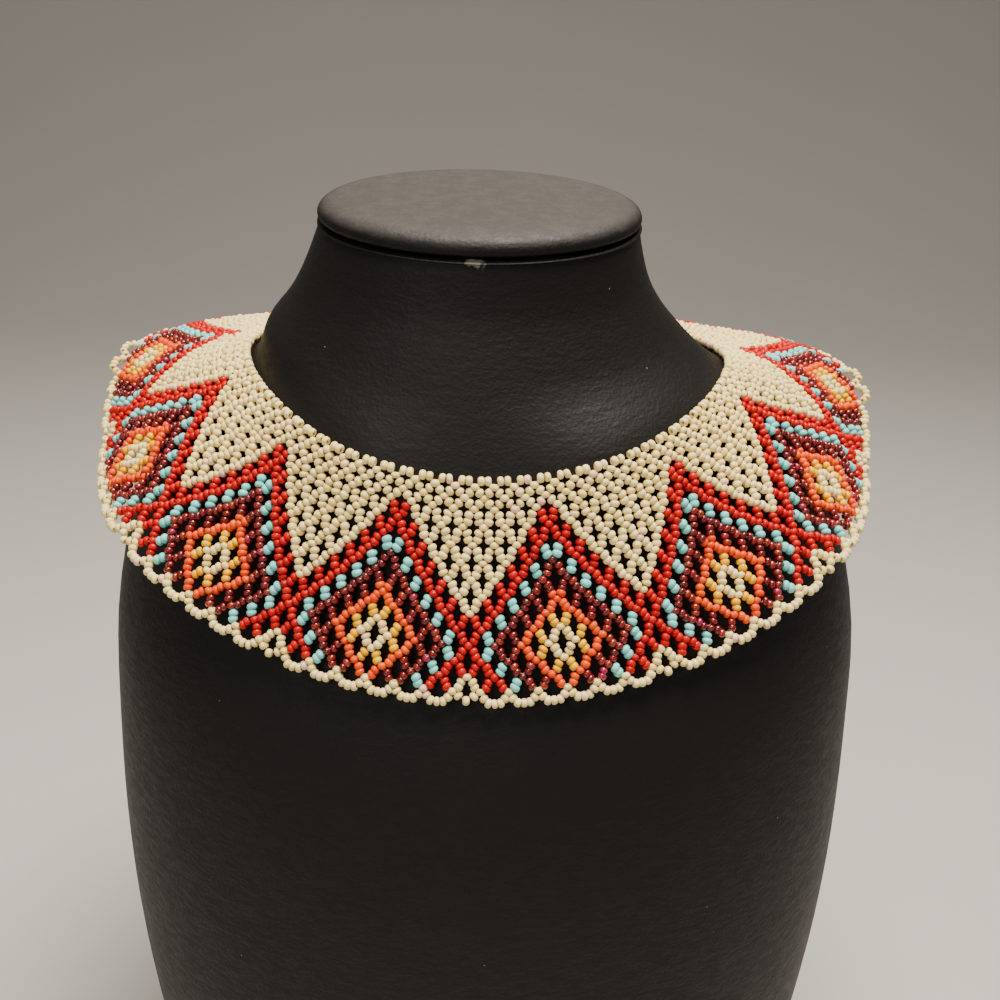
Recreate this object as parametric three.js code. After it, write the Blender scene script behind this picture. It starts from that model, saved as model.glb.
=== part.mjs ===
// Bib necklace of netted glass beads on a leatherette neck bust.
// Millimetres, +Z up, -Y front, +X to the wearer's left. The origin is the centre of the bust's base.

import * as THREE from 'three';

// Bead netting

const beadDiameter = 2.3;
const motifCount = 12;
const columnsPerMotif = 14;
const lastColumn = motifCount * columnsPerMotif / 2;

// The collar sits turned about the neck by this many columns at the front.
const turnColumns = -0.6;

// Distance down the net of its rows: two close rows at the neckline, then rows that close up
// a little as the net spreads.
const netRows = 13;
const closeRows = 2;
const closeRowStep = 2.63;
const openRowStep = 4.42;
const openRowLoss = 0.073;

// Collar stations, one at each motif edge from the front centre to the back opening.
// x, y, z is the neckline point; heading is the plan direction in which the net falls, 0 to the
// front and 180 to the back; fallIn and fallOut are its slopes below level at its two edges.
const collarStations = [
  { x: 0.0, y: -53.5, z: 261.5, heading: 0, fallIn: 71, fallOut: 68 },
  { x: 32.4, y: -50.0, z: 266.5, heading: 48, fallIn: 67, fallOut: 62 },
  { x: 56.6, y: -29.7, z: 275.0, heading: 67, fallIn: 51, fallOut: 37 },
  { x: 68.6, y: -2.2, z: 281.5, heading: 89, fallIn: 19, fallOut: 50 },
  { x: 63.0, y: 24.5, z: 282.5, heading: 115, fallIn: 1, fallOut: 20 },
  { x: 41.8, y: 45.5, z: 287.0, heading: 151, fallIn: 26, fallOut: 48 },
  { x: 8.8, y: 53.7, z: 289.5, heading: 180, fallIn: 46, fallOut: 64 },
];

// Edge rows of the netting
const edgeGap = 0.35;
const necklineEdgeHeight = 1.7;
const picotValley = 1.0;
const picotPeak = 2.9;
const netHem = 0.6;
const netBrow = 1.2;
const picotSteps = 2;

// Clasp at the back of the neck
const claspLength = 15.4;
const claspRadius = 1.9;
const claspNeckRadius = 1.1;
const claspLift = 1.2;

// Neck bust

const bustColumns = 72;
const ringsPerSpan = 2;
const collarClearance = beadDiameter / 2 + 0.4;

// Neck rings, top to bottom. shift is the ring's place to the side, level its middle height,
// tilt its forward lean and saddle the extra height of its sides.
const neckRings = [
  { shift: -2.9, level: 318.0, tilt: 9, saddle: 0, halfWidth: 42.6, front: 36.0, back: 34.0 },
  { shift: -3.1, level: 315.5, tilt: 9, saddle: 0, halfWidth: 43.3, front: 36.3, back: 34.5 },
  { shift: -3.9, level: 304.7, tilt: 9, saddle: 0, halfWidth: 47.0, front: 37.8, back: 37.0 },
  { shift: -4.0, level: 297.0, tilt: 9.5, saddle: 0, halfWidth: 51.6, front: 40.8, back: 41.0 },
  { shift: -4.0, level: 287.0, tilt: 10, saddle: 3.5, halfWidth: 57.3, front: 45.0, back: 46.5 },
];


// The shoulders follow the underside of the collar as far as this.
const shoulderReach = { start: -4, side: 34, frontAndBack: 46, rings: 6, ease: 2.2 };

// Torso rings, below the collar to the base, in the same columns.
const torsoRings = [
  { shift: 1.4, level: 213.0, tilt: 8, saddle: 6, halfWidth: 108.5, front: 73.5, back: 83.0 },
  { shift: 1.4, level: 183.0, tilt: 3, saddle: 2, halfWidth: 111.3, front: 80.0, back: 86.0 },
  { shift: 1.4, level: 144.0, tilt: 0, saddle: 0, halfWidth: 113.0, front: 84.5, back: 86.6 },
  { shift: 1.4, level: 104.0, tilt: 0, saddle: 0, halfWidth: 112.0, front: 86.6, back: 85.0 },
  { shift: 1.4, level: 64.0, tilt: 0, saddle: 0, halfWidth: 108.2, front: 86.0, back: 83.0 },
  { shift: 1.4, level: 30.0, tilt: 0, saddle: 0, halfWidth: 104.3, front: 84.5, back: 81.0 },
  { shift: 1.4, level: 3.0, tilt: 0, saddle: 0, halfWidth: 101.3, front: 83.0, back: 79.5 },
];
const torsoSquareness = 2.2;
const baseEdge = 2.0;

// Padded cap on the neck
const capSeam = 0.35;
const capOverhang = 0.6;
const capThickness = 4.3;
const capCrown = 1.6;
const capCrownRings = 4;

const degrees = THREE.MathUtils.degToRad;

function netDepth(row) {
  const close = Math.min(row, closeRows);
  const open = Math.max(row - closeRows, 0);
  return close * closeRowStep + open * openRowStep - open * open / 2 * openRowLoss;
}

const netWidth = netDepth(netRows);

// Catmull-Rom interpolation through four evenly spaced values.
function blend(before, from, to, after, t) {
  const a = 2 * from;
  const b = to - before;
  const c = 2 * before - 5 * from + 4 * to - after;
  const d = 3 * from - before - 3 * to + after;
  return (a + b * t + c * t * t + d * t * t * t) / 2;
}

// The station of any whole number, mirrored past the front centre and past the back opening.
function stationAt(index) {
  const last = collarStations.length - 1;
  if (index < 0) {
    const mirrored = collarStations[-index];
    return { ...mirrored, x: -mirrored.x, heading: -mirrored.heading };
  }
  if (index > last) {
    const mirrored = collarStations[2 * last - index];
    return { ...mirrored, x: -mirrored.x, heading: 360 - mirrored.heading };
  }
  return collarStations[index];
}

// A point of the collar's middle surface, moved out along its normal.
function collarPoint(column, depth, lift = 0) {
  const side = Math.sign(column) || 1;
  const place = Math.min(Math.abs(column), lastColumn) / columnsPerMotif;
  const index = Math.min(Math.floor(place), collarStations.length - 2);
  const near = [-1, 0, 1, 2].map((step) => stationAt(index + step));
  const at = (name) => blend(...near.map((station) => station[name]), place - index);
  const heading = degrees(at('heading'));
  const fallIn = degrees(at('fallIn'));
  const bend = degrees(at('fallOut') - at('fallIn')) / netWidth || 1e-6;
  const fall = fallIn + bend * depth;
  const run = (Math.sin(fall) - Math.sin(fallIn)) / bend;
  const drop = (Math.cos(fallIn) - Math.cos(fall)) / bend;
  const reach = run + lift * Math.sin(fall);
  return new THREE.Vector3(
    side * (at('x') + reach * Math.sin(heading)),
    at('y') - reach * Math.cos(heading),
    at('z') - drop + lift * Math.cos(fall),
  );
}

// Joins rings of equal length into a closed body. Each ring closes on itself, and the first and
// last ring are filled.
function loft(rings) {
  const count = rings[0].length;
  const positions = rings.flat().flatMap((point) => [point.x, point.y, point.z]);
  const triangles = [];
  for (let ring = 0; ring < rings.length - 1; ring += 1) {
    for (let i = 0; i < count; i += 1) {
      const a = ring * count + i;
      const b = ring * count + (i + 1) % count;
      triangles.push(a, b, b + count, a, b + count, a + count);
    }
  }
  [0, rings.length - 1].forEach((ring, end) => {
    const centre = positions.length / 3;
    const middle = new THREE.Vector3();
    rings[ring].forEach((point) => middle.addScaledVector(point, 1 / count));
    positions.push(middle.x, middle.y, middle.z);
    for (let i = 0; i < count; i += 1) {
      const a = ring * count + i;
      const b = ring * count + (i + 1) % count;
      triangles.push(...(end ? [a, b, centre] : [b, a, centre]));
    }
  });
  const geometry = new THREE.BufferGeometry();
  geometry.setAttribute('position', new THREE.Float32BufferAttribute(positions, 3));
  geometry.setIndex(triangles);
  geometry.computeVertexNormals();
  return geometry;
}

function turned(column) {
  return column + turnColumns * (1 - (column / lastColumn) ** 2);
}

// A band of netting from one depth to another: its sections, along the columns, are closed
// outlines of the band's thickness with softened edges.
function netBand(columns, innerDepth, outerDepth, depthSteps) {
  const half = beadDiameter / 2;
  const rings = columns.map((column) => {
    const inner = innerDepth(column);
    const outer = outerDepth(column);
    const depths = Array.from({ length: depthSteps + 1 }, (_, i) => inner + (outer - inner) * i / depthSteps);
    const soft = depthSteps > 1 ? 0.55 : 0.8;
    const lift = (i) => (i === 0 || i === depthSteps ? half * soft : half);
    const top = depths.map((depth, i) => collarPoint(turned(column), depth, lift(i)));
    const under = depths.map((depth, i) => collarPoint(turned(column), depth, -lift(i)));
    return [...top, ...under.reverse()];
  });
  return loft(rings);
}

function columnRange(steps) {
  return Array.from({ length: steps + 1 }, (_, i) => -lastColumn + 2 * lastColumn * i / steps);
}

// Plan direction of a point from the bust's middle, 0 to the front.
function azimuth(point) {
  return Math.atan2(point.x, -point.y);
}

function ringPoint(ring, angle, squareness = 2) {
  const forward = Math.cos(angle);
  const sideways = Math.sin(angle);
  const depth = forward > 0 ? ring.front : ring.back;
  const radius = (Math.abs(sideways / ring.halfWidth) ** squareness
    + Math.abs(forward / depth) ** squareness) ** (-1 / squareness);
  const y = -radius * forward;
  const lean = Math.tan(degrees(ring.tilt)) * y;
  return new THREE.Vector3(
    ring.shift + radius * sideways,
    y,
    ring.level + lean + ring.saddle * sideways ** 2,
  );
}

// The bust's outline from neck to base under one collar column.
function bustProfile(column) {
  const neckAngle = azimuth(collarPoint(column, 0));
  const torsoAngle = azimuth(collarPoint(column, netWidth));
  const { start, side, frontAndBack, rings, ease } = shoulderReach;
  const reach = frontAndBack + (side - frontAndBack) * Math.sin(torsoAngle) ** 2;
  const shoulder = Array.from({ length: rings + 1 }, (_, i) => (
    collarPoint(column, start + (reach - start) * i / rings, -collarClearance - ease * (i / rings) ** 2)
  ));
  return [
    ...neckRings.map((ring) => ringPoint(ring, neckAngle)),
    ...shoulder,
    ...torsoRings.map((ring) => ringPoint(ring, torsoAngle, torsoSquareness)),
  ];
}

function bustBody() {
  const profiles = [];
  for (let i = 0; i < bustColumns; i += 1) {
    const column = -lastColumn + 2 * lastColumn * (i + 0.5) / bustColumns;
    const curve = new THREE.CatmullRomCurve3(bustProfile(column), false, 'centripetal');
    profiles.push(curve.getPoints(ringsPerSpan * (curve.points.length - 1)));
  }
  const rings = profiles[0].map((_, k) => profiles.map((profile) => profile[k]));
  const lowest = rings[rings.length - 1];
  rings.push(lowest.map((point) => new THREE.Vector3(
    point.x - Math.sin(azimuth(point)) * baseEdge,
    point.y + Math.cos(azimuth(point)) * baseEdge,
    0,
  )));
  return loft(rings.reverse());
}

// The cap follows the neck's top ring: a seam, a rounded rim and a low crown.
function neckCap() {
  const top = neckRings[0];
  const outline = (grow, rise) => Array.from({ length: bustColumns }, (_, i) => {
    const angle = -Math.PI + 2 * Math.PI * i / bustColumns;
    return ringPoint({
      ...top,
      level: top.level + rise,
      halfWidth: top.halfWidth + grow,
      front: top.front + grow,
      back: top.back + grow,
    }, angle);
  });
  const rim = [
    outline(-2.2, capSeam),
    outline(-0.4, capSeam + 0.5),
    outline(capOverhang, capSeam + 1.8),
    outline(capOverhang, capSeam + 3.0),
    outline(-0.6, capSeam + 3.8),
    outline(-2.8, capSeam + capThickness),
  ];
  const crown = Array.from({ length: capCrownRings }, (_, i) => {
    const inward = (i + 1) / (capCrownRings + 1);
    const shrink = -2.8 - inward * (top.front - 6);
    return outline(shrink, capSeam + capThickness + capCrown * (1 - (1 - inward) ** 2));
  });
  return loft([...rim, ...crown]);
}

function clasp() {
  const half = claspLength / 2;
  const outline = [
    [0, -half], [claspNeckRadius, -half], [claspNeckRadius, -half + 2.4], [claspRadius, -half + 3.6],
    [claspRadius, half - 3.6], [claspNeckRadius, half - 2.4], [claspNeckRadius, half], [0, half],
  ].map(([radius, along]) => new THREE.Vector2(radius, along));
  return new THREE.LatheGeometry(outline, 20);
}

function finish(color, roughness) {
  return new THREE.MeshStandardMaterial({ color, roughness, metalness: 0 });
}

const leatherette = finish(0x1a1a1c, 0.6);
const ivoryGlass = finish(0xe6dccb, 0.35);
const netGlass = finish(0xb0563c, 0.35);
const gilt = new THREE.MeshStandardMaterial({ color: 0xc9a45c, roughness: 0.3, metalness: 1 });

const necklaceOnBust = new THREE.Group();

function place(name, geometry, material) {
  const mesh = new THREE.Mesh(geometry, material);
  mesh.name = name;
  necklaceOnBust.add(mesh);
  return mesh;
}

place('bust_body', bustBody(), leatherette);
place('neck_cap', neckCap(), leatherette);

const netColumns = columnRange(motifCount * columnsPerMotif / 2);
place('net_collar', netBand(netColumns, () => -netBrow, () => netWidth + netHem, 5), netGlass);

place('neckline_edge', netBand(
  netColumns,
  () => -netBrow - edgeGap - necklineEdgeHeight,
  () => -netBrow - edgeGap,
  1,
), ivoryGlass);

const picotStart = netWidth + netHem + edgeGap;
const picotColumns = columnRange(motifCount * columnsPerMotif / 2 * picotSteps);
place('picot_edge', netBand(
  picotColumns,
  () => picotStart,
  (column) => picotStart + picotValley
    + (picotPeak - picotValley) * Math.abs(Math.cos(column * Math.PI / 2)) ** 0.7,
  1,
), ivoryGlass);

const claspMesh = place('clasp', clasp(), gilt);
claspMesh.rotation.z = Math.PI / 2;
claspMesh.position.copy(collarPoint(lastColumn, 0, claspLift)).setX(0);

export default necklaceOnBust;
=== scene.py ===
"""A bib necklace of netted seed beads, worn on a padded neck bust."""

import math
import random

import bmesh
import bpy
from bpy.props import FloatProperty, FloatVectorProperty, PointerProperty
from mathutils import Matrix, Vector


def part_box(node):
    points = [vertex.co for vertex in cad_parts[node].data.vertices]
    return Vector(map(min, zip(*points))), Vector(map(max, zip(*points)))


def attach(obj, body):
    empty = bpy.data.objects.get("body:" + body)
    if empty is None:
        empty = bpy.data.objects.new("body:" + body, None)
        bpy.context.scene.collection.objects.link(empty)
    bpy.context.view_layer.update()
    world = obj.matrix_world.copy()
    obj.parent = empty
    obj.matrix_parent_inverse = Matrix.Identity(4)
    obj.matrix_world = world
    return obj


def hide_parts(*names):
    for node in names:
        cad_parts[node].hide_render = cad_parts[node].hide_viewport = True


bl_info = {
    "name": "Netted Bead Collar",
    "version": (1, 0, 0),
    "blender": (4, 5, 0),
    "location": "3D View > Sidebar > Bead Collar",
    "description": "Strings a netted seed bead collar and upholsters the bust that wears it",
    "category": "Add Mesh",
}

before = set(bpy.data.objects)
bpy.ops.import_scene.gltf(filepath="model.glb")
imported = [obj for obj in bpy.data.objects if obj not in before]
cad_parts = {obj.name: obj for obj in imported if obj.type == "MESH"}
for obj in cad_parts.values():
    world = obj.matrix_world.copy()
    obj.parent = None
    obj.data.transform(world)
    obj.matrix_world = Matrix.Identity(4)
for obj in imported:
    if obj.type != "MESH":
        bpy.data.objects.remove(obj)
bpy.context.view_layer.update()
MM = 0.001

# ------------------------------------------------------------------ the collar's surface

NET_ROWS = 13
CLOSE_ROWS = 2
CLOSE_ROW_STEP = 2.63
OPEN_ROW_STEP = 4.42
OPEN_ROW_LOSS = 0.073
MOTIF_COLUMNS = 14
LAST_COLUMN = 84
TURN_COLUMNS = -0.6

# One station at each motif edge, from the front centre round to the back opening, in mm and
# degrees: the neckline's place, the way that the netting faces there, and how steeply it falls
# at its inner and at its outer edge.
STATION_COLUMNS = ("x", "y", "z", "heading", "fall_in", "fall_out")
STATIONS = [
    dict(zip(STATION_COLUMNS, row))
    for row in (
        (0.0, -53.5, 261.5, 0, 71, 68),
        (32.4, -50.0, 266.5, 48, 67, 62),
        (56.6, -29.7, 275.0, 67, 51, 37),
        (68.6, -2.2, 281.5, 89, 19, 50),
        (63.0, 24.5, 282.5, 115, 1, 20),
        (41.8, 45.5, 287.0, 151, 26, 48),
        (8.8, 53.7, 289.5, 180, 46, 64),
    )
]


def net_depth(row):
    """How far down the netting a row of shared beads lies, in mm."""
    close = min(row, CLOSE_ROWS)
    loose = max(row - CLOSE_ROWS, 0)
    return close * CLOSE_ROW_STEP + loose * OPEN_ROW_STEP - loose * loose / 2 * OPEN_ROW_LOSS


NET_WIDTH = net_depth(NET_ROWS)


# The legs of three beads let the netting droop round the tip of each open centre.
DROOP_ROW = 7
DROOP = 1.5
DROOP_ROWS = 1.3
DROOP_COLUMNS = 1.4


def knot_depth(row, column):
    """How far down the netting the shared bead of a row and column lies, in mm."""
    down = (row - DROOP_ROW) / DROOP_ROWS
    across = (MOTIF_COLUMNS / 2 - folded(column)) / DROOP_COLUMNS
    return net_depth(row) + DROOP * math.exp(-down * down - across * across)


def folded(column):
    """A column's place in half a motif, 0 to 7."""
    place = column % MOTIF_COLUMNS
    return min(place, MOTIF_COLUMNS - place)


def blend(before, start, end, after, t):
    """A smooth value between start and end, with the slopes that their neighbours give."""
    a = 2 * start
    b = end - before
    c = 2 * before - 5 * start + 4 * end - after
    d = 3 * start - before - 3 * end + after
    return (a + b * t + c * t * t + d * t * t * t) / 2


def station_at(index):
    """The station of any whole number, mirrored past the front centre and the back opening."""
    last = len(STATIONS) - 1
    if index < 0:
        mirrored = STATIONS[-index]
        return {**mirrored, "x": -mirrored["x"], "heading": -mirrored["heading"]}
    if index > last:
        mirrored = STATIONS[2 * last - index]
        return {**mirrored, "x": -mirrored["x"], "heading": 360 - mirrored["heading"]}
    return STATIONS[index]


def collar_point(column, depth, lift=0.0):
    """The place, in mm, of a column at a depth below the neckline, lifted off the surface."""
    column += TURN_COLUMNS * (1 - (column / LAST_COLUMN) ** 2)
    side = -1 if column < 0 else 1
    place = min(abs(column), LAST_COLUMN) / MOTIF_COLUMNS
    index = min(int(place), len(STATIONS) - 2)
    near = [station_at(index + step) for step in (-1, 0, 1, 2)]
    at = {name: blend(*(s[name] for s in near), place - index) for name in STATION_COLUMNS}
    heading = math.radians(at["heading"])
    fall_in = math.radians(at["fall_in"])
    bend = math.radians(at["fall_out"] - at["fall_in"]) / NET_WIDTH or 1e-6
    fall = fall_in + bend * depth
    run = (math.sin(fall) - math.sin(fall_in)) / bend
    drop = (math.cos(fall_in) - math.cos(fall)) / bend
    reach = run + lift * math.sin(fall)
    return Vector(
        (
            side * (at["x"] + reach * math.sin(heading)),
            at["y"] - reach * math.cos(heading),
            at["z"] - drop + lift * math.cos(fall),
        )
    )


# ------------------------------------------------------------------ the chart of colours

COLOURS = {
    "W": "ivory",
    "R": "red",
    "T": "turquoise",
    "M": "maroon",
    "O": "orange",
    "Y": "yellow",
}

# Half a motif for each row, from its ivory centre to its open one: the shared beads at columns
# 0 to 7, and the legs between each column and the next on the way down to the row below.
CHART_COLUMNS = ("shared", "legs")
CHART = [
    dict(zip(CHART_COLUMNS, row))
    for row in (
        ("W.W.W.W.", "WWWWWWW"),
        (".W.W.W.W", "WWWWWWW"),
        ("W.W.W.W.", "WWWWWWR"),
        (".W.W.W.R", "WWWWWRR"),
        ("W.W.W.R.", "WWWWRRT"),
        (".W.W.R.M", "WWWRRTM"),
        ("W.W.R.M.", "WWRRTMM"),
        (".W.R.M.O", "WRRTMMO"),
        ("W.R.M.O.", "RRTMMOY"),
        (".R.M.O.W", "RTMMOYW"),
        ("R.M.O.W.", "RTMMOYW"),
        (".R.M.O.W", "RRTMMOY"),
        ("W.R.M.O.", "WRRTMMO"),
        (".W.W.W.W", ""),
    )
]
LONG_LEG_ROW = 6  # the two legs that meet on the open centre here have an orange third bead


# ------------------------------------------------------------------ sizes and colours


def colour_property(name, description, default):
    """A colour with its picker."""
    return FloatVectorProperty(
        name=name, description=description, default=default, subtype="COLOR", min=0.0, max=1.0
    )


def length_property(name, description, default):
    """A length in metres."""
    return FloatProperty(
        name=name, description=description, default=default, unit="LENGTH", precision=5
    )


class BeadSettings(bpy.types.PropertyGroup):
    """The seed beads and the thread that strings them."""

    diameter: length_property("Bead diameter", "Across a seed bead", 2.42 * MM)
    length: length_property("Bead length", "Along a seed bead's hole", 1.62 * MM)
    thread: length_property("Thread", "Across the thread", 0.26 * MM)
    unevenness: FloatProperty(
        name="Unevenness", description="How much the beads differ in size", default=0.06
    )
    ivory: colour_property("Ivory", "Glaze of the ivory beads", (1.0, 0.79, 0.34))
    red: colour_property("Red", "Glaze of the red beads", (0.58, 0.0015, 0.001))
    turquoise: colour_property("Turquoise", "Glaze of the turquoise beads", (0.24, 0.74, 0.66))
    maroon: colour_property("Maroon", "Glass of the maroon beads", (0.24, 0.010, 0.008))
    orange: colour_property("Orange", "Glaze of the orange beads", (0.92, 0.075, 0.0))
    yellow: colour_property("Yellow", "Glaze of the yellow beads", (1.0, 0.50, 0.0))
    cotton: colour_property("Thread colour", "The thread", (0.50, 0.45, 0.38))


class BustSettings(bpy.types.PropertyGroup):
    """The bust's covering."""

    leather: colour_property("Leatherette", "The bust's covering", (0.0046, 0.0040, 0.0036))
    # A painted sheen: the light that the cap's top catches, painted into its covering's colour.
    painted_sheen: colour_property("Painted cap sheen", "Painted sheen on the cap's top", (0.056, 0.0505, 0.0455))
    worn: colour_property("Worn edge", "The covering where its skin is rubbed off", (0.20, 0.19, 0.16))
    dust: colour_property("Dust", "Specks of dust", (0.62, 0.59, 0.50))
    brass: colour_property("Clasp", "The clasp's metal", (0.72, 0.55, 0.28))
    grain: length_property("Grain", "Size of the covering's grain", 0.9 * MM)


class StageSettings(bpy.types.PropertyGroup):
    """The camera, the lights and the floor."""

    lens: FloatProperty(name="Lens", description="Focal length in mm", default=36.48)
    pitch: FloatProperty(
        name="Pitch", description="How far the camera looks down", default=math.radians(22),
        subtype="ANGLE",
    )
    roll: FloatProperty(
        name="Roll", description="How far the camera leans", default=math.radians(1.72),
        subtype="ANGLE",
    )
    floor: colour_property("Floor", "The floor's colour", (0.55, 0.52, 0.483))
    sky: FloatProperty(name="Room light", description="Strength of the room's light", default=0.32)
    key: FloatProperty(name="Top light", description="Power of the top light", default=23.0)
    fill: FloatProperty(name="Front light", description="Power of the front light", default=2.8)


# ------------------------------------------------------------------ materials


class Flow:
    """A node's socket that takes part in sums: each sum adds a Math node."""

    def __init__(self, finish, socket):
        self.finish = finish
        self.socket = socket

    def math(self, operation, first, second):
        return self.finish.node(
            "ShaderNodeMath", {"operation": operation}, {0: first, 1: second}
        )

    def __add__(self, other):
        return self.math("ADD", self, other)

    def __radd__(self, other):
        return self.math("ADD", other, self)

    def __sub__(self, other):
        return self.math("SUBTRACT", self, other)

    def __rsub__(self, other):
        return self.math("SUBTRACT", other, self)

    def __mul__(self, other):
        return self.math("MULTIPLY", self, other)

    def __rmul__(self, other):
        return self.math("MULTIPLY", other, self)

    def __lt__(self, other):
        return self.math("LESS_THAN", self, other)

    def __gt__(self, other):
        return self.math("GREATER_THAN", self, other)

    def bigger(self, other):
        return self.math("MAXIMUM", self, other)


class Finish:
    """A material, made node by node round one Principled shader."""

    def __init__(self, name):
        self.material = bpy.data.materials.new(name)
        self.material.use_nodes = True
        self.tree = self.material.node_tree
        self.tree.nodes.clear()
        self.shader = self.tree.nodes.new("ShaderNodeBsdfPrincipled")
        output = self.tree.nodes.new("ShaderNodeOutputMaterial")
        self.tree.links.new(self.shader.outputs[0], output.inputs["Surface"])

    def feed(self, socket, value):
        """Links a flow to a socket, or sets the socket's own value."""
        if isinstance(value, Flow):
            self.tree.links.new(value.socket, socket)
        elif socket.type == "RGBA" and len(value) == 3:
            socket.default_value = (*value, 1.0)
        else:
            socket.default_value = value

    def node(self, kind, settings=None, sockets=None, output=0):
        """Adds any node: its settings first, with a ramp's stops among them, then its sockets."""
        node = self.tree.nodes.new(kind)
        for name, value in (settings or {}).items():
            if name == "stops":
                elements = node.color_ramp.elements
                while len(elements) < len(value):
                    elements.new(0.5)
                for element, (position, colour) in zip(elements, value):
                    element.position = position
                    element.color = (*colour, 1.0)
            else:
                setattr(node, name, value)
        for key, value in (sockets or {}).items():
            self.feed(node.inputs[key], value)
        return Flow(self, node.outputs[output])

    def shade(self, **values):
        """Sets the shader's sockets, named with underscores for spaces."""
        for name, value in values.items():
            self.feed(self.shader.inputs[name.replace("_", " ")], value)
        return self.material

    def place(self, scale=(1.0, 1.0, 1.0)):
        """Object coordinates, stretched by a scale on each axis."""
        where = self.node("ShaderNodeTexCoord", output="Object")
        if tuple(scale) == (1.0, 1.0, 1.0):
            return where
        return self.node("ShaderNodeMapping", {}, {"Vector": where, "Scale": scale})

    def noise(self, where, size, detail=2.0, roughness=0.5):
        """Noise whose features are about size metres."""
        return self.node(
            "ShaderNodeTexNoise",
            {},
            {"Vector": where, "Scale": 1.0 / size, "Detail": detail, "Roughness": roughness},
        )

    def spread(self, value, low, high, bottom=0.0, top=1.0):
        """A value taken from the range low to high into bottom to top, and kept there."""
        return self.node(
            "ShaderNodeMapRange",
            {"clamp": True},
            {"Value": value, "From Min": low, "From Max": high, "To Min": bottom, "To Max": top},
        )

    def mix(self, factor, first, second, blend_type="MIX"):
        """Two colours mixed."""
        return self.node(
            "ShaderNodeMix",
            {"data_type": "RGBA", "blend_type": blend_type},
            {0: factor, 6: first, 7: second},
            output=2,
        )

    def bump(self, height, distance, strength=1.0):
        """A normal from a height."""
        return self.node(
            "ShaderNodeBump", {}, {"Height": height, "Distance": distance, "Strength": strength}
        )


def glass_finish(name, stops, roughness, coat, gloss_mottle=0.06, metallic=0.0):
    """Glass beads: each bead's own tint picks its colour from the stops."""
    finish = Finish(name)
    tint = finish.node("ShaderNodeAttribute", {"attribute_name": "tint"}, output="Fac")
    where = finish.place()
    mottle = finish.noise(where, 0.9 * MM, detail=3.0)
    colour = finish.node("ShaderNodeValToRGB", {"stops": stops}, {"Fac": tint})
    shadowed = finish.mix(finish.spread(mottle, 0.35, 0.7, 0.0, 0.22), colour, (0, 0, 0))
    pits = finish.noise(where, 0.25 * MM, detail=2.0)
    return finish.shade(
        Base_Color=shadowed,
        Roughness=finish.spread(mottle, 0.3, 0.7, roughness, roughness + gloss_mottle),
        Metallic=metallic,
        Coat_Weight=coat,
        Coat_Roughness=0.12,
        Specular_IOR_Level=0.16,
        Normal=finish.bump(pits, 0.03 * MM, 0.5),
    )


def tinted(colour, factors):
    """A colour with each channel multiplied."""
    return tuple(min(1.0, c * f) for c, f in zip(colour, factors))


def bead_finishes(beads):
    """The six glasses, by colour name."""
    ivory = tuple(beads.ivory)
    red = tuple(beads.red)
    turquoise = tuple(beads.turquoise)
    maroon = tuple(beads.maroon)
    orange = tuple(beads.orange)
    yellow = tuple(beads.yellow)
    return {
        "ivory": glass_finish(
            "ivory glaze",
            [
                (0.0, tinted(ivory, (0.95, 0.93, 0.84))),
                (0.5, ivory),
                (0.90, tinted(ivory, (1.03, 1.04, 1.12))),
                (0.965, tinted(ivory, (1.0, 0.93, 1.15))),
                (1.0, tinted(ivory, (0.95, 0.78, 1.45))),
            ],
            0.34,
            0.1,
        ),
        "red": glass_finish(
            "red glaze",
            [
                (0.0, tinted(red, (0.85, 0.7, 0.8))),
                (0.5, red),
                (0.93, tinted(red, (1.08, 3.0, 1.2))),
                (0.98, tinted(red, (0.95, 1.1, 9.0))),
            ],
            0.26,
            0.2,
        ),
        "turquoise": glass_finish(
            "turquoise glaze",
            [(0.0, tinted(turquoise, (0.85, 0.93, 0.92))), (1.0, tinted(turquoise, (1.2, 1.06, 1.1)))],
            0.32,
            0.15,
        ),
        "maroon": glass_finish(
            "maroon glass",
            [
                (0.0, tinted(maroon, (0.6, 0.6, 0.7))),
                (0.6, maroon),
                (0.93, tinted(maroon, (1.5, 3.4, 1.6))),
                (0.985, tinted(maroon, (1.6, 1.8, 7.0))),
            ],
            0.20,
            1.0,
            metallic=0.3,
        ),
        "orange": glass_finish(
            "orange glaze",
            [(0.0, tinted(orange, (0.95, 0.72, 1.0))), (1.0, tinted(orange, (1.05, 1.35, 1.0)))],
            0.24,
            0.2,
        ),
        "yellow": glass_finish(
            "yellow glaze",
            [(0.0, tinted(yellow, (0.97, 0.88, 1.0))), (1.0, tinted(yellow, (1.03, 1.12, 1.6)))],
            0.24,
            0.2,
        ),
    }


def leather_height(finish, where, grain):
    """The covering's relief: fine pebbles, with creases that run round the bust."""
    pebble = finish.node(
        "ShaderNodeTexVoronoi",
        {"feature": "SMOOTH_F1"},
        {"Vector": where, "Scale": 1.0 / grain, "Smoothness": 0.6},
        output="Distance",
    )
    creases = finish.noise(finish.place((0.4, 0.4, 1.0)), 1.8 * MM, detail=4.0, roughness=0.6)
    fine = finish.noise(where, 0.5 * MM, detail=3.0)
    return pebble * 0.45 + finish.spread(creases, 0.36, 0.64) * 0.42 + fine * 0.3


def speck_mask(finish, where, specks):
    """1 on each of a few specks, given as their places and radii in mm."""
    mask = None
    for place, radius in specks:
        far = finish.node(
            "ShaderNodeVectorMath",
            {"operation": "DISTANCE"},
            {0: where, 1: tuple(Vector(place) * MM)},
            output="Value",
        )
        spot = far < radius * MM
        mask = spot if mask is None else mask.bigger(spot)
    return mask


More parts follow.
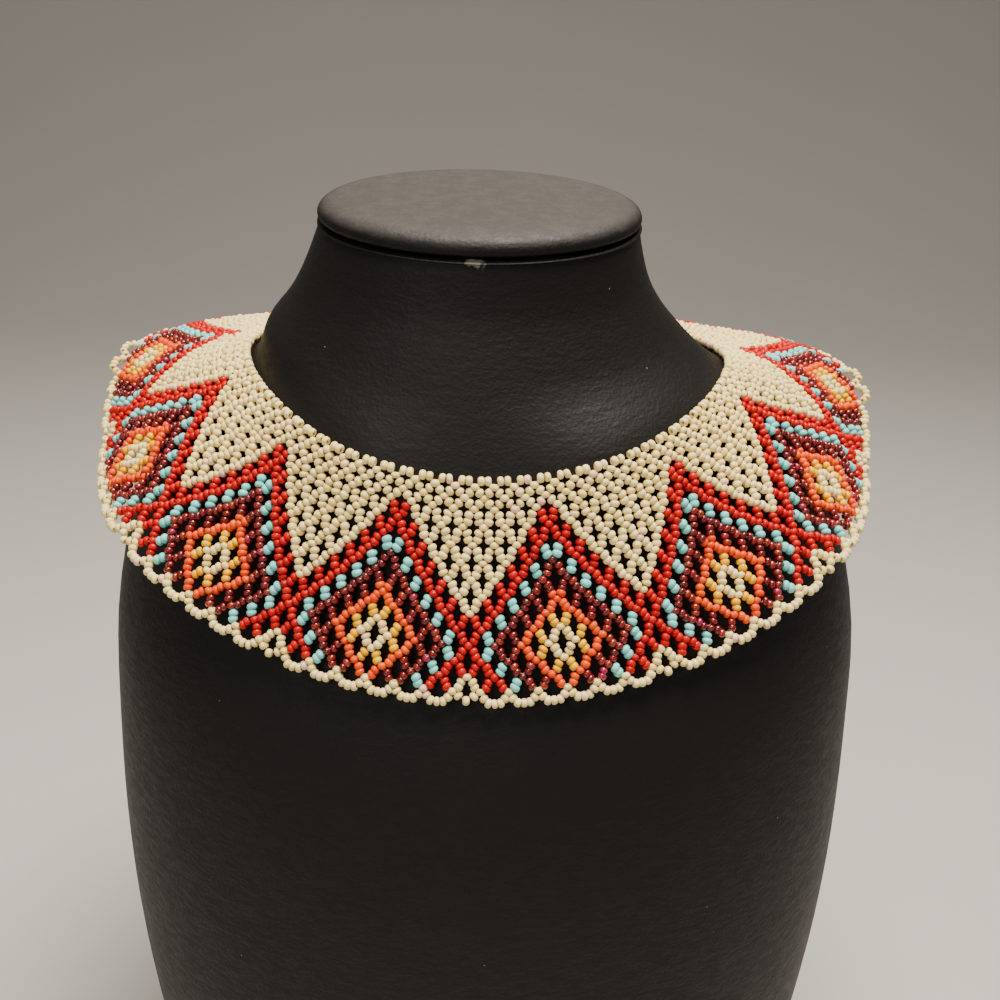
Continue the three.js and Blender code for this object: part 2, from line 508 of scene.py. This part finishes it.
def leather_finish(bust, name, specks=(), worn=None, painted_sheen=None):
    """Matte black leatherette with dust, a painted highlight on its raised grain and a painted sheen that
    makes it paler over the cap top's levels, rubbed where it is worn.
    """
    finish = Finish(name)
    where = finish.place()
    height = leather_height(finish, where, bust.grain)
    leather = tuple(bust.leather)
    cloudy = finish.noise(where, 45 * MM, detail=3.0)
    dull = tinted(leather, (0.92, 0.92, 0.93))
    clear = tinted(leather, (1.08, 1.06, 1.05))
    colour = finish.mix(finish.spread(cloudy, 0.35, 0.65), dull, clear)
    # Painted highlight: the raised grain and creases are painted lighter than their hollows.
    high = finish.spread(height, 0.55, 0.95, 0.0, 0.5)
    colour = finish.mix(high, colour, tinted(leather, (1.7, 1.65, 1.62)))
    roughness = finish.spread(height, 0.35, 0.95, 0.60, 0.47)
    # Painted sheen: above the given levels over the neck's top, the cap's covering is painted paler with
    # the light that its top catches, and paler still on its raised grain, a painted highlight.
    if painted_sheen:
        across = finish.node("ShaderNodeSeparateXYZ", {}, {"Vector": where}, output="Y")
        upright = finish.node("ShaderNodeSeparateXYZ", {}, {"Vector": where}, output="Z")
        level = upright - across * math.tan(NECK_TILT) - NECK_TOP_LEVEL * MM
        ragged = level + finish.noise(where, 3 * MM, detail=4.0) * MM
        pale = finish.mix(
            finish.spread(height, 0.45, 0.95),
            tinted(bust.painted_sheen, (0.84, 0.84, 0.85)),
            tinted(bust.painted_sheen, (1.14, 1.14, 1.13)),
        )
        colour = finish.mix(finish.spread(ragged, painted_sheen[0] * MM, painted_sheen[1] * MM), colour, pale)
    if worn:
        centre, reach = worn
        far = finish.node(
            "ShaderNodeVectorMath",
            {"operation": "DISTANCE"},
            {0: where, 1: tuple(Vector(centre) * MM)},
            output="Value",
        )
        ragged = far + finish.noise(where, 1.8 * MM, detail=4.0) * (2.0 * reach * MM)
        rubbed = finish.spread(ragged, 1.6 * reach * MM, 1.95 * reach * MM, 0.85, 0.0)
        colour = finish.mix(rubbed, colour, tuple(bust.worn))
        roughness = roughness + rubbed * 0.3
    motes = finish.node(
        "ShaderNodeTexVoronoi", {}, {"Vector": where, "Scale": 1.0 / (9 * MM)}, output="Distance"
    )
    colour = finish.mix((motes < 0.016) * 0.5, colour, tuple(bust.dust))
    if specks:
        colour = finish.mix(speck_mask(finish, where, specks), colour, tuple(bust.dust))
    return finish.shade(
        Base_Color=colour,
        Roughness=roughness,
        Specular_IOR_Level=0.20,
        Normal=finish.bump(height, 0.2 * MM, 0.7),
    )


def thread_finish(beads):
    """Pale waxed thread with a fine twist."""
    finish = Finish("waxed thread")
    twist = finish.noise(finish.place(), 0.3 * MM, detail=2.0)
    cotton = tuple(beads.cotton)
    colour = finish.mix(finish.spread(twist, 0.3, 0.7), tinted(cotton, (0.75, 0.75, 0.75)), cotton)
    return finish.shade(Base_Color=colour, Roughness=0.6, Normal=finish.bump(twist, 0.05 * MM))


def brass_finish(bust):
    """Brushed brass, a little dull in places."""
    finish = Finish("brushed brass")
    dull = finish.noise(finish.place(), 2.5 * MM, detail=4.0)
    brass = tuple(bust.brass)
    colour = finish.mix(finish.spread(dull, 0.4, 0.7), brass, tinted(brass, (0.7, 0.6, 0.5)))
    return finish.shade(
        Base_Color=colour, Metallic=1.0, Roughness=finish.spread(dull, 0.3, 0.7, 0.22, 0.42)
    )


def floor_finish(stage):
    """A plain pale floor."""
    finish = Finish("pale floor")
    cloud = finish.noise(finish.place(), 0.6, detail=2.0)
    pale = tuple(stage.floor)
    colour = finish.mix(finish.spread(cloud, 0.3, 0.7), tinted(pale, (0.97, 0.97, 0.97)), pale)
    return finish.shade(Base_Color=colour, Roughness=0.9)


# ------------------------------------------------------------------ meshes


def settled(mesh_object):
    """Puts an object's modifiers and curve bevel into a plain mesh, and returns the mesh."""
    depsgraph = bpy.context.evaluated_depsgraph_get()
    return bpy.data.meshes.new_from_object(mesh_object.evaluated_get(depsgraph))


def add_piece(name, mesh, material, node):
    """Shows a mesh as a piece that rides with the bust and stands for a CAD node."""
    piece = bpy.data.objects.new(name, mesh)
    bpy.context.scene.collection.objects.link(piece)
    mesh.materials.clear()
    mesh.materials.append(material)
    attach(piece, "root")
    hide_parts(node)
    return piece


# A seed bead's section, as shares of its radius and of half its length, from the hole's top lip
# over the belt to its bottom lip.
BEAD_SECTION = (
    (0.33, 0.74),
    (0.60, 1.0),
    (0.88, 0.64),
    (1.0, 0.0),
    (0.88, -0.64),
    (0.60, -1.0),
    (0.33, -0.74),
)


def bead_template(beads):
    """One seed bead about the Z axis."""
    bm = bmesh.new()
    verts = [
        bm.verts.new((beads.diameter / 2 * across, 0, beads.length / 2 * along))
        for across, along in BEAD_SECTION
    ]
    edges = [bm.edges.new((vert, verts[i - 1])) for i, vert in enumerate(verts)]
    bmesh.ops.spin(
        bm,
        geom=verts + edges,
        cent=(0, 0, 0),
        axis=(0, 0, 1),
        angle=2 * math.pi,
        steps=10,
        use_merge=True,
    )
    bmesh.ops.remove_doubles(bm, verts=bm.verts, dist=0.01 * MM)
    bmesh.ops.recalc_face_normals(bm, faces=bm.faces)
    mesh = bpy.data.meshes.new("seed_bead")
    for face in bm.faces:
        face.smooth = True
    bm.to_mesh(mesh)
    bm.free()
    return bpy.data.objects.new("seed_bead", mesh)


def stringing_nodes(template):
    """Geometry Nodes that put a bead on each point and turn it as the point's attributes say."""
    group = bpy.data.node_groups.new("stringing", "GeometryNodeTree")
    group.interface.new_socket("Geometry", in_out="INPUT", socket_type="NodeSocketGeometry")
    group.interface.new_socket("Geometry", in_out="OUTPUT", socket_type="NodeSocketGeometry")
    entry = group.nodes.new("NodeGroupInput")
    leave = group.nodes.new("NodeGroupOutput")
    bead = group.nodes.new("GeometryNodeObjectInfo")
    bead.inputs["Object"].default_value = template
    attributes = {}
    for name in ("turn", "size"):
        node = group.nodes.new("GeometryNodeInputNamedAttribute")
        node.data_type = "FLOAT_VECTOR"
        node.inputs["Name"].default_value = name
        attributes[name] = node.outputs["Attribute"]
    spot = group.nodes.new("GeometryNodeInstanceOnPoints")
    real = group.nodes.new("GeometryNodeRealizeInstances")
    link = group.links.new
    link(entry.outputs[0], spot.inputs["Points"])
    link(bead.outputs["Geometry"], spot.inputs["Instance"])
    link(attributes["turn"], spot.inputs["Rotation"])
    link(attributes["size"], spot.inputs["Scale"])
    link(spot.outputs[0], real.inputs[0])
    link(real.outputs[0], leave.inputs[0])
    return group


def strung(name, places, group):
    """A mesh with a real bead at every place of a list of (centre, turn, size, tint)."""
    points = bpy.data.meshes.new(name)
    points.from_pydata([place[0] * MM for place in places], [], [])
    for index, (attribute, kind, key) in enumerate(
        (("turn", "FLOAT_VECTOR", "vector"), ("size", "FLOAT_VECTOR", "vector"), ("tint", "FLOAT", "value"))
    ):
        layer = points.attributes.new(attribute, kind, "POINT")
        for item, place in zip(layer.data, places):
            setattr(item, key, place[index + 1])
    carrier = bpy.data.objects.new(name, points)
    bpy.context.scene.collection.objects.link(carrier)
    modifier = carrier.modifiers.new("stringing", "NODES")
    modifier.node_group = group
    mesh = settled(carrier)
    bpy.data.objects.remove(carrier)
    for attribute in ("turn", "size"):
        if attribute in mesh.attributes:
            mesh.attributes.remove(mesh.attributes[attribute])
    return mesh


# ------------------------------------------------------------------ the netting


LEG_OUT = 0.42  # how far across its leg the first bead of two lies
LEG_DOWNS = (0.335, 0.695)  # how far down its leg each bead of two lies
LEG_CLEAR = 1.14  # the least that it keeps to its side of the shared bead, in mm
PAIR_RISE = 1.5
PAIR_SIDE = 0.84
# A scallop's beads: their places across its two columns, and down from the outer row in mm.
SCALLOP_COLUMNS = ("across", "down", "lean")
SCALLOP = [
    dict(zip(SCALLOP_COLUMNS, row))
    for row in (
        (0.13, 1.45, 52),
        (0.29, 2.6, 22),
        (0.5, 2.75, 0),
        (0.71, 2.6, -22),
        (0.87, 1.45, -52),
    )
]
SHORT_SCALLOP = [
    dict(zip(SCALLOP_COLUMNS, row))
    for row in (
        (0.22, 0.95, 40),
        (0.5, 2.1, 0),
        (0.78, 0.95, -40),
    )
]


# The scallops at the tips of the shoulders that curl up off the bust, and how steeply.
CURLED_COLUMNS = (-52, -50, 50, 52)
CURL = 0.8


class Netting:
    """Collects the beads and the thread of the whole collar."""

    def __init__(self, beads, seed):
        self.beads = beads
        self.random = random.Random(seed)
        self.rings = []  # (colour, column, part, centre, turn, size, tint)
        self.threads = []

    def axes(self, column, depth):
        """Unit directions across the net, down it and out of it."""
        step = 0.05
        middle = collar_point(column, depth)
        across = (collar_point(column + step, depth) - collar_point(column - step, depth)).normalized()
        down = (collar_point(column, depth + step) - middle).normalized()
        out = across.cross(down).normalized()
        if out.dot(collar_point(column, depth, 1.0) - middle) < 0:
            out = -out
        return across, down, out

    def add(self, colour, column, centre, hole, out, part="net", big=1.0):
        """Strings one bead with its hole along a direction."""
        shake = self.random.gauss
        uneven = self.beads.unevenness
        hole = (hole + Vector((shake(0, 0.10), shake(0, 0.10), shake(0, 0.10)))).normalized()
        turn = hole.to_track_quat("Z", "Y").to_euler()
        girth = big * (1 + shake(0, uneven * 0.5))
        length = big * (1 + shake(0, uneven))
        centre = centre + out * shake(0, 0.12)
        self.rings.append(
            (colour, column, part, centre, tuple(turn), (girth, girth, length), self.random.random())
        )

    def shared_bead(self, row, column):
        depth = knot_depth(row, column)
        _, down, out = self.axes(column, depth)
        letter = CHART[row]["shared"][folded(column)]
        self.add(COLOURS[letter], column, collar_point(column, depth), down, out)

    def leg(self, row, start, end):
        """The beads of one leg, from a shared bead of a row to one of the row below."""
        depth, below = knot_depth(row, start), knot_depth(row + 1, end)
        low, high = sorted((folded(start), folded(end)))
        letter = CHART[row]["legs"][low]
        letters = letter if row < CLOSE_ROWS else letter * 2
        if row == LONG_LEG_ROW and high == MOTIF_COLUMNS // 2:
            letters = letter * 2 + "O"
        _, down, _ = self.axes(start, depth)
        _, down_below, _ = self.axes(end, below)
        half = self.beads.length / MM / 2
        top = collar_point(start, depth)
        bottom = collar_point(end, below)
        spots = self.leg_spots(len(letters), start, end, depth, below)
        route = [top + down * half * 0.8, *spots, bottom - down_below * half * 0.8]
        self.threads.append([top, *route, bottom])
        for i, spot in enumerate(spots):
            before, after = route[i], route[i + 2]
            along = (after - before).normalized() + (bottom - top).normalized()
            _, _, out = self.axes((start + end) / 2, (depth + below) / 2)
            name = COLOURS[letters[i]]
            big = {"turquoise": 1.08, "maroon": 0.98}.get(name, 1.0)
            self.add(name, (start + end) / 2, spot, along, out, big=big)

    def leg_spots(self, count, start, end, depth, below):
        """The centres of a leg's beads, spread so that neighbouring legs only touch."""
        if count == 1:
            return [collar_point((start + end) / 2, (depth + below) / 2)]
        if count == 3:
            shares = ((0.36, 0.26), (0.5, 0.5), (0.64, 0.74))
        else:
            span = (collar_point(end, depth) - collar_point(start, depth)).length
            out = min(max(LEG_OUT, LEG_CLEAR / span), 0.49)
            shares = ((out, LEG_DOWNS[0]), (1 - out, LEG_DOWNS[1]))
        return [
            collar_point(start + (end - start) * across, depth + (below - depth) * fall)
            for across, fall in shares
        ]

    def pair(self, column):
        """Two ivory beads that stand over the neckline between two shared beads."""
        across, _, out = self.axes(column, 0)
        middle = collar_point(column, -PAIR_RISE)
        route = [collar_point(column - 1, 0)]
        for side in (-1, 1):
            spot = middle + across * PAIR_SIDE * side
            route.append(spot)
            self.add("ivory", column, spot, across, out, part="neckline")
        route.append(collar_point(column + 1, 0))
        self.threads.append(route)

    def scallop(self, column):
        """The ivory beads that hang under the outer row between two shared beads."""
        places = SHORT_SCALLOP if column % MOTIF_COLUMNS == 0 else SCALLOP
        edge = net_depth(NET_ROWS)
        across, down, out = self.axes(column, edge)
        route = [collar_point(column - 1, edge)]
        for place in places:
            lean = math.radians(place["lean"])
            curl = CURL * place["down"] if column in CURLED_COLUMNS else 0.0
            spot = collar_point(column - 1 + 2 * place["across"], edge + place["down"], curl)
            hole = across * math.cos(lean) + down * math.sin(lean)
            route.append(spot)
            self.add("ivory", column, spot, hole, out, part="picot")
        route.append(collar_point(column + 1, edge))
        self.threads.append(route)

    def knit(self):
        """Every bead of the collar, from the left of the back opening round to its right."""
        for row in range(NET_ROWS + 1):
            for column in range(-LAST_COLUMN, LAST_COLUMN + 1):
                if (row + column) % 2:
                    continue
                self.shared_bead(row, column)
                if row == NET_ROWS:
                    continue
                for end in (column - 1, column + 1):
                    if abs(end) <= LAST_COLUMN:
                        self.leg(row, column, end)
        for column in range(1 - LAST_COLUMN, LAST_COLUMN, 2):
            self.pair(column)
        for column in range(2 - LAST_COLUMN, LAST_COLUMN, 2):
            self.scallop(column)


    def tie_clasp(self):
        """The ends of the thread, from the top rows beside the opening to the clasp's ends."""
        low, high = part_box("clasp")
        middle = (Vector(low) + Vector(high)) / 2 / MM
        for side, end in ((-1, low[0]), (1, high[0])):
            eye = Vector((end / MM - side * 0.6, middle.y, middle.z))
            for row in (0, 1, 2):
                column = side * (LAST_COLUMN - row % 2)
                self.threads.append([collar_point(column, net_depth(row)), eye])


IVORY_PARTS = 4


def section(column):
    """Which quarter of the collar a column is in, from 1 at one side of the opening."""
    share = (column + LAST_COLUMN) / (2 * LAST_COLUMN + 1)
    return min(int(share * IVORY_PARTS), IVORY_PARTS - 1) + 1


class BUST_OT_netting(bpy.types.Operator):
    """String the netting, the neckline pairs and the scallops on their thread"""

    bl_idname = "bib.netting"
    bl_label = "String the netting"

    def execute(self, context):
        beads = context.scene.bib_beads
        finishes = bead_finishes(beads)
        netting = Netting(beads, seed=7)
        netting.knit()
        strings = {}
        for colour, column, part, *place in netting.rings:
            if part == "neckline":
                key = ("neckline_pairs", "neckline_edge", "ivory")
            elif part == "picot":
                key = ("scallop_beads", "picot_edge", "ivory")
            elif colour == "ivory":
                key = (f"ivory_beads_{section(column)}", "net_collar", "ivory")
            else:
                key = (f"{colour}_beads", "net_collar", colour)
            strings.setdefault(key, []).append(place)
        template = bead_template(beads)
        group = stringing_nodes(template)
        for (name, node, colour), places in sorted(strings.items()):
            mesh = strung(name, places, group)
            add_piece(name, mesh, finishes[colour], node)
        bpy.data.objects.remove(template)
        netting.tie_clasp()
        self.string_thread(context, netting.threads, beads)
        return {"FINISHED"}

    def string_thread(self, context, routes, beads):
        """Fine tubes from bead to bead, which show in the gaps."""
        curve = bpy.data.curves.new("thread", "CURVE")
        curve.dimensions = "3D"
        curve.bevel_depth = beads.thread / 2
        curve.bevel_resolution = 0
        curve.use_fill_caps = True
        for route in routes:
            spline = curve.splines.new("POLY")
            spline.points.add(len(route) - 1)
            for point, spot in zip(spline.points, route):
                point.co = (*(spot * MM), 1.0)
        carrier = bpy.data.objects.new("thread", curve)
        context.scene.collection.objects.link(carrier)
        mesh = settled(carrier)
        bpy.data.objects.remove(carrier)
        mesh.shade_smooth()
        add_piece("bead_thread", mesh, thread_finish(beads), "net_collar")


# ------------------------------------------------------------------ the bust, its cap, the clasp


def merged_copy(node, name):
    """A CAD node's mesh as one closed skin."""
    bm = bmesh.new()
    bm.from_mesh(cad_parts[node].data)
    bmesh.ops.remove_doubles(bm, verts=bm.verts, dist=0.02 * MM)
    bmesh.ops.join_triangles(
        bm, faces=bm.faces, angle_face_threshold=math.radians(30), angle_shape_threshold=math.radians(60)
    )
    mesh = bpy.data.meshes.new(name)
    bm.to_mesh(mesh)
    bm.free()
    return mesh


def crease_corners(mesh, angle):
    """Keeps edges sharper than an angle crisp under a Subdivision Surface."""
    bm = bmesh.new()
    bm.from_mesh(mesh)
    layer = bm.edges.layers.float.get("crease_edge") or bm.edges.layers.float.new("crease_edge")
    for edge in bm.edges:
        if len(edge.link_faces) == 2 and edge.calc_face_angle(0) > angle:
            edge[layer] = 0.9
    bm.to_mesh(mesh)
    bm.free()


def subdivided(piece, levels):
    """Smooths a piece with a Subdivision Surface."""
    modifier = piece.modifiers.new("smooth", "SUBSURF")
    modifier.levels = levels
    modifier.render_levels = levels
    piece.data.shade_smooth()


# Specks of dust as their places and radii, in mm.
CAP_SPECKS = (((3.0, -9.0, 327.0), 0.85),)
CHEST_SPECKS = (((-11.0, -86.0, 172.0), 0.8),)


class BUST_OT_bust(bpy.types.Operator):
    """Cover the bust in leatherette"""

    bl_idname = "bib.bust"
    bl_label = "Cover the bust"

    def execute(self, context):
        bust = context.scene.bib_bust
        mesh = merged_copy("bust_body", "bust_cover")
        crease_corners(mesh, math.radians(50))
        low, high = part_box("neck_cap")
        rim = ((low[0] + high[0]) / 2 / MM, low[1] / MM, low[2] / MM)
        material = leather_finish(bust, "leatherette", CHEST_SPECKS, worn=(rim, 3.0))
        piece = add_piece("bust_cover", mesh, material, "bust_body")
        subdivided(piece, 1)
        return {"FINISHED"}


# The plane of the neck's top: its slope, and its height in mm on the neck's axis.
NECK_TILT = math.radians(9)
NECK_TOP_LEVEL = 318.0
OVAL_SEGMENTS = 96

# The rolled rim of the neck's covering: its thickness, how far it stands out past the cap's
# outline, and its height over the neck's top.
RIM_THICKNESS = 1.2
RIM_SIDE = -0.5
RIM_LEVEL = -0.3

# The cap's section, as shares of its outline and heights over the neck's top in mm, from the
# middle of its underside round its padded rim to the middle of its top.
CAP_SECTION = (
    (0.90, 0.35),
    (0.965, 0.5),
    (0.99, 1.1),
    (1.0, 2.1),
    (0.993, 3.3),
    (0.972, 4.4),
    (0.935, 5.2),
    (0.875, 5.8),
    (0.77, 6.2),
    (0.60, 6.45),
    (0.35, 6.6),
)


# The levels over the neck's top, in mm, between which the cap's covering turns paler with a painted sheen.
PAINTED_SHEEN_LEVELS = (3.6, 6.0)


def oval(share, height, side=0.0):
    """The matrix that takes a unit circle to a level of the neck's oval top."""
    low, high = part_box("neck_cap")
    half_width = (high[0] - low[0]) / 2 + side
    half_depth = (high[1] - low[1]) / 2 + side
    centre = Vector(((low[0] + high[0]) / 2, (low[1] + high[1]) / 2, NECK_TOP_LEVEL * MM))
    lean = Matrix.Identity(4)
    lean[2][1] = math.tan(NECK_TILT)
    place = Matrix.Translation((centre.x, 0, centre.z + height * MM))
    shift = Matrix.Translation((0, centre.y, 0))
    size = Matrix.Diagonal((half_width * share, half_depth * share, 1, 1))
    return place @ lean @ shift @ size


def ring_loop(bm, matrix):
    """A closed ring of edges, from a unit circle taken through a matrix."""
    made = bmesh.ops.create_circle(bm, segments=OVAL_SEGMENTS, radius=1.0, matrix=matrix)
    return list({edge for vert in made["verts"] for edge in vert.link_edges})


class BUST_OT_cap(bpy.types.Operator):
    """Pad the oval cap that closes the neck, and turn the neck's rim under it"""

    bl_idname = "bib.cap"
    bl_label = "Pad the cap"

    def execute(self, context):
        bust = context.scene.bib_bust
        bm = bmesh.new()
        rings = [ring_loop(bm, oval(share, height)) for share, height in CAP_SECTION]
        for lower, upper in zip(rings, rings[1:]):
            bmesh.ops.bridge_loops(bm, edges=lower + upper)
        for ring, height in ((rings[0], 0.35), (rings[-1], 6.65)):
            fill = bmesh.ops.edgenet_fill(bm, edges=ring)
            bmesh.ops.poke(bm, faces=fill["faces"])
        bmesh.ops.recalc_face_normals(bm, faces=bm.faces)
        mesh = bpy.data.meshes.new("padded_cap")
        bm.to_mesh(mesh)
        bm.free()
        material = leather_finish(bust, "cap leatherette", CAP_SPECKS, painted_sheen=PAINTED_SHEEN_LEVELS)
        piece = add_piece("padded_cap", mesh, material, "neck_cap")
        subdivided(piece, 1)
        self.turn_rim(bust)
        return {"FINISHED"}

    def turn_rim(self, bust):
        """The thin rolled edge of the neck's covering, just outside the cap."""
        bm = bmesh.new()
        half = RIM_THICKNESS / 2
        corners = ((-half, -half), (half, -half), (half, half), (-half, half))
        rings = [
            ring_loop(bm, oval(1.0, RIM_LEVEL + rise, (RIM_SIDE + out) * MM))
            for out, rise in corners
        ]
        for i, ring in enumerate(rings):
            bmesh.ops.bridge_loops(bm, edges=ring + rings[(i + 1) % len(rings)])
        bmesh.ops.recalc_face_normals(bm, faces=bm.faces)
        mesh = bpy.data.meshes.new("neck_rim")
        bm.to_mesh(mesh)
        bm.free()
        low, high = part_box("neck_cap")
        front = ((low[0] + high[0]) / 2 / MM, low[1] / MM - 0.5, low[2] / MM)
        material = leather_finish(bust, "rim leatherette", worn=(front, 3.2))
        piece = add_piece("neck_rim", mesh, material, "bust_body")
        subdivided(piece, 2)


class BUST_OT_clasp(bpy.types.Operator):
    """Finish the barrel clasp at the nape"""

    bl_idname = "bib.clasp"
    bl_label = "Finish the clasp"

    def execute(self, context):
        mesh = merged_copy("clasp", "barrel_clasp")
        mesh.shade_smooth()
        mesh.set_sharp_from_angle(angle=math.radians(30))
        material = brass_finish(context.scene.bib_bust)
        add_piece("barrel_clasp", mesh, material, "clasp")
        return {"FINISHED"}


# ------------------------------------------------------------------ the stage


CAMERA_PLACE = (4.7, -280.1, 350.0)
FLOOR_HALF = 9.0
WALL_PLACE = 2.6
SWEEP_RADIUS = 1.4
WALL_HEIGHT = 2.0


class BUST_OT_stage(bpy.types.Operator):
    """Set the floor, the lights and the camera"""

    bl_idname = "bib.stage"
    bl_label = "Set the stage"

    def execute(self, context):
        stage = context.scene.bib_stage
        self.lay_floor(context, stage)
        self.light_room(context, stage)
        data = bpy.data.cameras.new("camera")
        data.lens = stage.lens
        data.sensor_width = 36
        data.clip_start = 0.01
        data.clip_end = 50
        camera = bpy.data.objects.new("camera", data)
        context.scene.collection.objects.link(camera)
        tilt = Matrix.Rotation(math.radians(90) - stage.pitch, 4, "X")
        lean = Matrix.Rotation(stage.roll, 4, "Z")
        camera.matrix_world = Matrix.Translation(Vector(CAMERA_PLACE) * MM) @ tilt @ lean
        context.scene.camera = camera
        return {"FINISHED"}

    def lay_floor(self, context, stage):
        """A floor that sweeps up behind the bust into a wall."""
        bm = bmesh.new()
        front = bm.verts.new((-FLOOR_HALF, -FLOOR_HALF, 0))
        foot = bm.verts.new((-FLOOR_HALF, WALL_PLACE - SWEEP_RADIUS, 0))
        bm.edges.new((front, foot))
        curve = bmesh.ops.spin(
            bm,
            geom=[foot],
            cent=(-FLOOR_HALF, WALL_PLACE - SWEEP_RADIUS, SWEEP_RADIUS),
            axis=(1, 0, 0),
            angle=math.radians(90),
            steps=24,
        )
        head = [v for v in curve["geom_last"] if isinstance(v, bmesh.types.BMVert)]
        raised = bmesh.ops.extrude_vert_indiv(bm, verts=head)
        bmesh.ops.translate(bm, verts=raised["verts"], vec=(0, 0, WALL_HEIGHT))
        wide = bmesh.ops.extrude_edge_only(bm, edges=bm.edges[:])
        moved = [v for v in wide["geom"] if isinstance(v, bmesh.types.BMVert)]
        bmesh.ops.translate(bm, verts=moved, vec=(2 * FLOOR_HALF, 0, 0))
        bmesh.ops.remove_doubles(bm, verts=bm.verts, dist=MM)
        bmesh.ops.recalc_face_normals(bm, faces=bm.faces)
        for face in bm.faces:
            face.smooth = True
        mesh = bpy.data.meshes.new("floor")
        bm.to_mesh(mesh)
        bm.free()
        mesh.materials.append(floor_finish(stage))
        floor = bpy.data.objects.new("floor", mesh)
        context.scene.collection.objects.link(floor)

    def light_room(self, context, stage):
        world = bpy.data.worlds.new("room")
        world.use_nodes = True
        background = world.node_tree.nodes["Background"]
        background.inputs["Color"].default_value = (1.0, 0.96, 0.90, 1.0)
        background.inputs["Strength"].default_value = stage.sky
        context.scene.world = world
        lights = (
            ("top_light", (0.10, -0.05, 1.10), 0.55, stage.key, (1.0, 0.94, 0.85)),
            ("front_light", (-0.35, -0.95, 0.75), 0.60, stage.fill, (1.0, 0.95, 0.90)),
        )
        aim = Vector((0, 0, 0.24))
        for name, place, size, power, colour in lights:
            data = bpy.data.lights.new(name, "AREA")
            data.shape = "DISK"
            data.size = size
            data.energy = power
            data.color = colour
            light = bpy.data.objects.new(name, data)
            context.scene.collection.objects.link(light)
            light.location = place
            light.rotation_euler = (aim - Vector(place)).to_track_quat("-Z", "Y").to_euler()


# ------------------------------------------------------------------ the add-on

OPERATORS = (BUST_OT_stage, BUST_OT_bust, BUST_OT_cap, BUST_OT_netting, BUST_OT_clasp)


class BUST_PT_panel(bpy.types.Panel):
    """The collar's pieces, each with its button"""

    bl_label = "Bead Collar"
    bl_space_type = "VIEW_3D"
    bl_region_type = "UI"
    bl_category = "Bead Collar"

    def draw(self, context):
        for operator in OPERATORS:
            self.layout.operator(operator.bl_idname)
        for settings in (context.scene.bib_beads, context.scene.bib_bust, context.scene.bib_stage):
            box = self.layout.box()
            for name in settings.__annotations__:
                box.prop(settings, name)


CLASSES = (BeadSettings, BustSettings, StageSettings, *OPERATORS, BUST_PT_panel)


def register():
    for cls in CLASSES:
        bpy.utils.register_class(cls)
    bpy.types.Scene.bib_beads = PointerProperty(type=BeadSettings)
    bpy.types.Scene.bib_bust = PointerProperty(type=BustSettings)
    bpy.types.Scene.bib_stage = PointerProperty(type=StageSettings)


def unregister():
    for name in ("bib_beads", "bib_bust", "bib_stage"):
        delattr(bpy.types.Scene, name)
    for cls in reversed(CLASSES):
        bpy.utils.unregister_class(cls)


def main():
    register()
    for operator in OPERATORS:
        group, name = operator.bl_idname.split(".")
        getattr(getattr(bpy.ops, group), name)()


if __name__ == "__main__":
    main()
